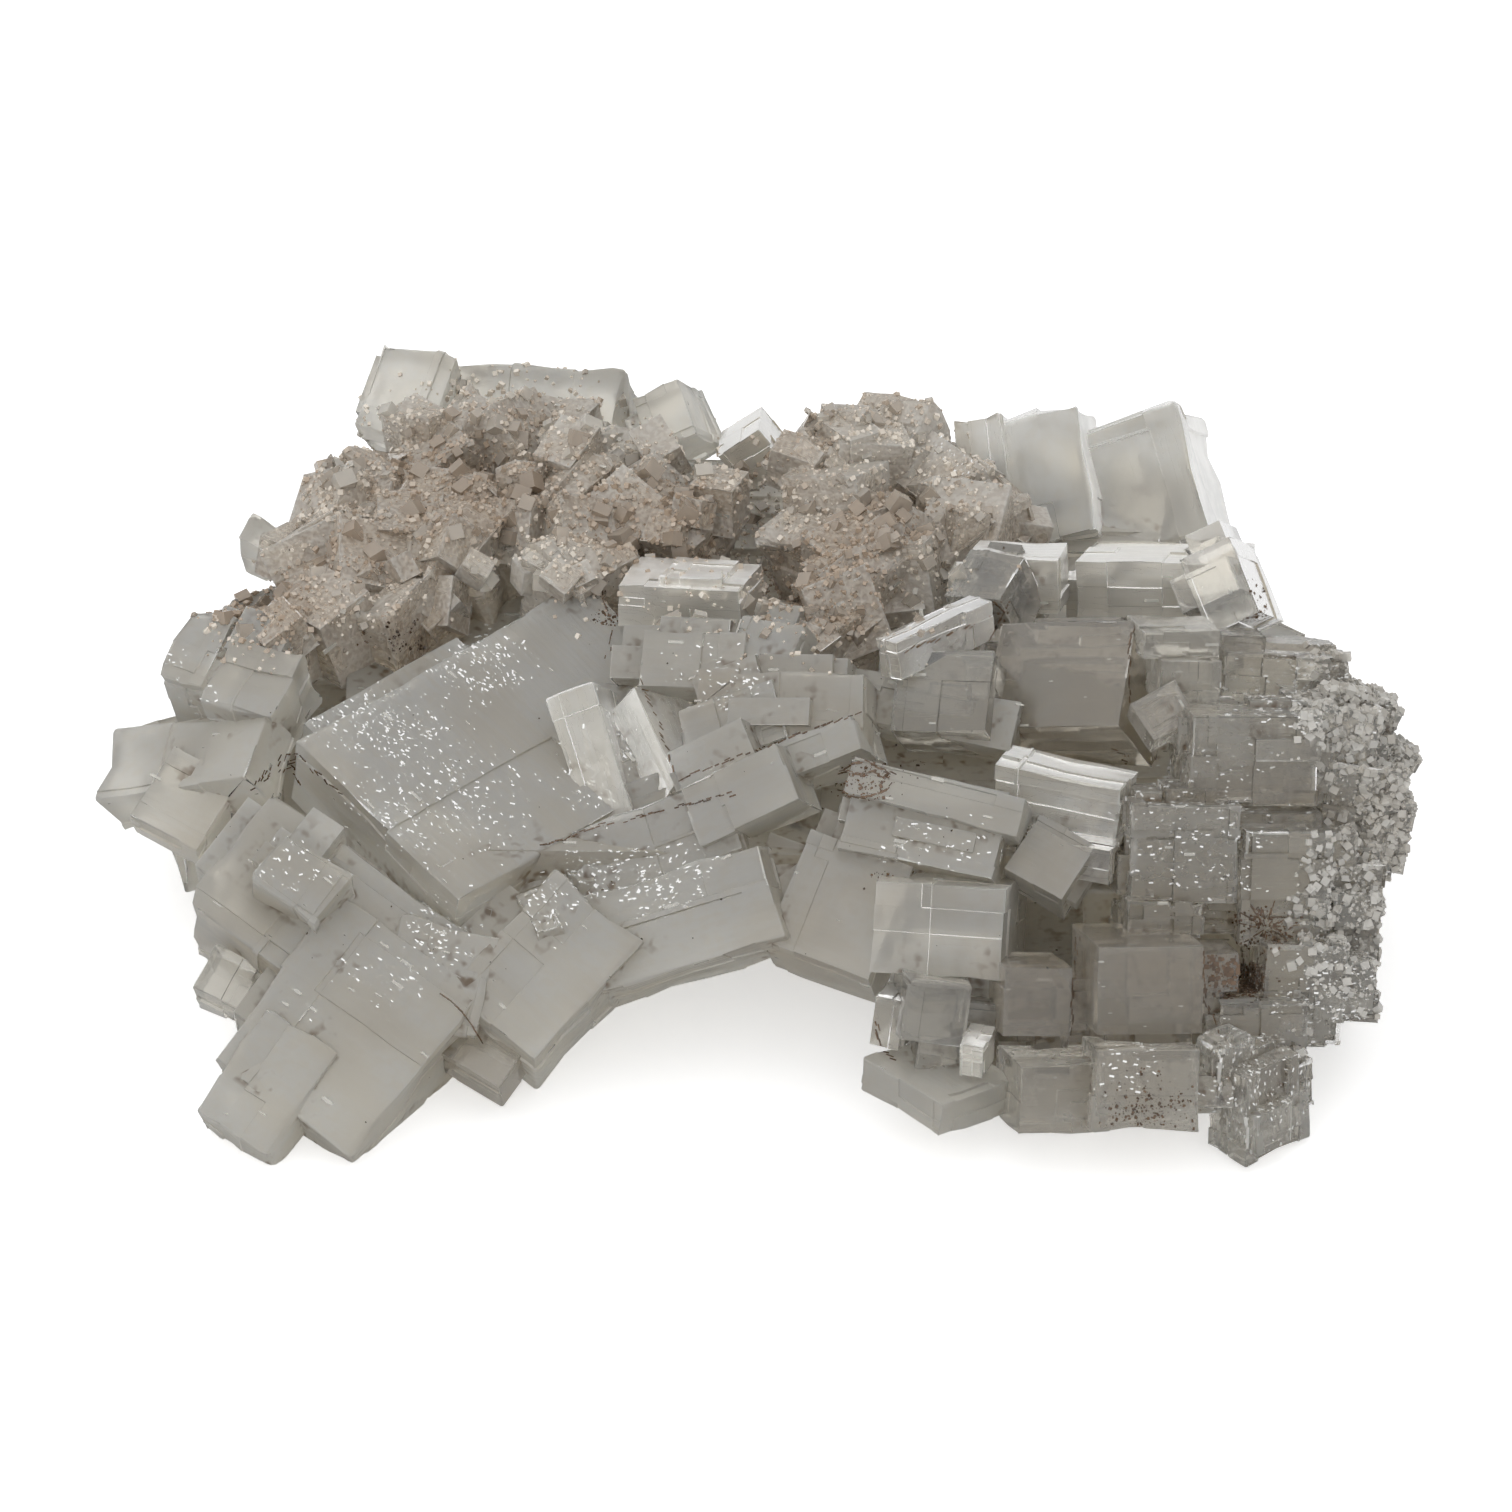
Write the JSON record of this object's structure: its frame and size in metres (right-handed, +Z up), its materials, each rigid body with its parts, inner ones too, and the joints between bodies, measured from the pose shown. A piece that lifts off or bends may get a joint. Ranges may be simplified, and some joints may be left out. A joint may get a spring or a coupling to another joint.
{
  "type": "halite cubic crystal cluster",
  "caption": "Cluster of see-through cubic salt crystals grown together around an arched front, with a crust of small cubes on top and a flat base to rest on.",
  "frame": {"origin": "middle of the footprint box on the flat base", "axes": "+X along the length of the cluster, toward the stepped right lobe; -Y is the front with the arched bay; +Z up"},
  "size_m": [0.2002, 0.1692, 0.0565],
  "materials": {
    "halite": "clear to milky, partly frosted, with brown clay stains"
  },
  "bodies": {
    "root": {"halite_cluster": "halite"}
  },
  "joints": []
}
